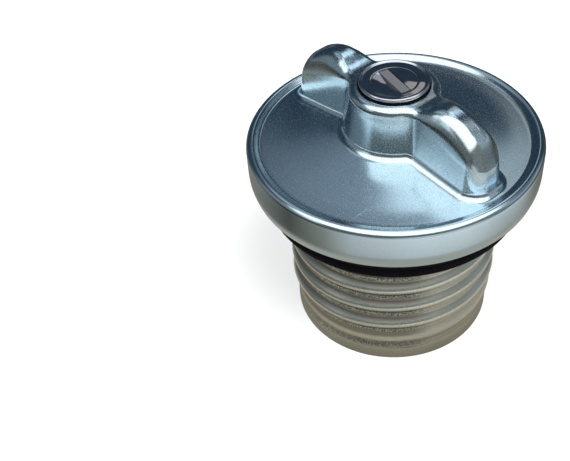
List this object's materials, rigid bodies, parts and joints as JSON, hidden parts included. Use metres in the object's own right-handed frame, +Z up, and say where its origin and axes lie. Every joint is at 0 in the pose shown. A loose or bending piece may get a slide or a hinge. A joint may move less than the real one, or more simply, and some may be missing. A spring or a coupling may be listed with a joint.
{
  "type": "locking deck fill cap",
  "caption": "Round locking screw-in fill cap: pressed cover with dog-bone wing grip and keyed lock, freewheeling on a round-threaded sleeve with a rubber gasket.",
  "frame": {"origin": "centre of the threaded sleeve's bottom edge, on the turning axis", "axes": "+Z up along the turning axis towards the lock, +X along the wing grip"},
  "size_m": [0.075, 0.075, 0.0733],
  "materials": {
    "zinc_cover": "bright bluish zinc plate, satin with fine speckle",
    "zinc_sleeve": "dull warm zinc plate, grainy",
    "chrome_trim": "mirror chrome",
    "shutter_steel": "matte grey steel",
    "die_cast": "raw die casting, stands for zinc alloy",
    "brass_parts": "stamped brass, dull",
    "spring_steel": "bright spring steel",
    "black_rubber": "smooth black rubber",
    "nylon": "natural nylon"
  },
  "bodies": {
    "sleeve": {"threaded_sleeve": "zinc_sleeve", "sealing_gasket": "black_rubber", "carrier_ring": "zinc_sleeve", "carrier_rivets": "spring_steel", "slip_ring": "nylon", "anti_rattle_spring": "spring_steel", "notched_ring": "zinc_sleeve", "bottom_plate": "zinc_sleeve"},
    "cover": {"cover_shell": "zinc_cover", "backing_plate": "zinc_sleeve", "lock_housing": "die_cast", "rosette_seal": "black_rubber", "lock_rosette": "chrome_trim", "bolt_cage": "die_cast", "mechanism_screws": "spring_steel"},
    "plug": {"lock_plug": "chrome_trim", "shutter_pin": "spring_steel", "shutter_spring": "spring_steel", "wafer_springs": "spring_steel", "plug_o_ring": "black_rubber", "plug_retaining_ring": "spring_steel", "bolt_cam": "die_cast", "cam_screw": "spring_steel"},
    "shutter": {"slot_shutter": "shutter_steel"},
    "bolt": {"coupling_bolt": "brass_parts"},
    "wafer_1": {"wafer_1": "brass_parts"},
    "wafer_2": {"wafer_2": "brass_parts"},
    "wafer_3": {"wafer_3": "brass_parts"},
    "wafer_4": {"wafer_4": "brass_parts"},
    "wafer_5": {"wafer_5": "brass_parts"}
  },
  "joints": [
    {"name": "cover_spin", "type": "hinge", "parent": "sleeve", "child": "cover", "pos_m": [0, 0, 0.0519], "axis": [0, 0, 1], "continuous": true},
    {"name": "plug_turn", "type": "hinge", "parent": "cover", "child": "plug", "pos_m": [0, 0, 0.0619], "axis": [0, 0, 1], "range_deg": [0, 90]},
    {"name": "bolt_slide", "type": "slide", "parent": "cover", "child": "bolt", "axis": [1, 0, 0], "range_m": [0, 0.0025]},
    {"name": "shutter_fold", "type": "hinge", "parent": "plug", "child": "shutter", "pos_m": [0.00047, 0.00189, 0.0713], "axis": [0.9703, -0.2419, 0], "range_deg": [0, 85]},
    {"name": "wafer_1_lift", "type": "slide", "parent": "plug", "child": "wafer_1", "axis": [0.9703, -0.2419, 0], "range_m": [0, 0.0009]},
    {"name": "wafer_2_lift", "type": "slide", "parent": "plug", "child": "wafer_2", "axis": [-0.9703, 0.2419, 0], "range_m": [0, 0.0009]},
    {"name": "wafer_3_lift", "type": "slide", "parent": "plug", "child": "wafer_3", "axis": [0.9703, -0.2419, 0], "range_m": [0, 0.0009]},
    {"name": "wafer_4_lift", "type": "slide", "parent": "plug", "child": "wafer_4", "axis": [-0.9703, 0.2419, 0], "range_m": [0, 0.0009]},
    {"name": "wafer_5_lift", "type": "slide", "parent": "plug", "child": "wafer_5", "axis": [0.9703, -0.2419, 0], "range_m": [0, 0.0009]}
  ],
  "couplings": [
    {"joint": "bolt_slide", "follows": "plug_turn", "m_per_rad": 0.0015915}
  ]
}
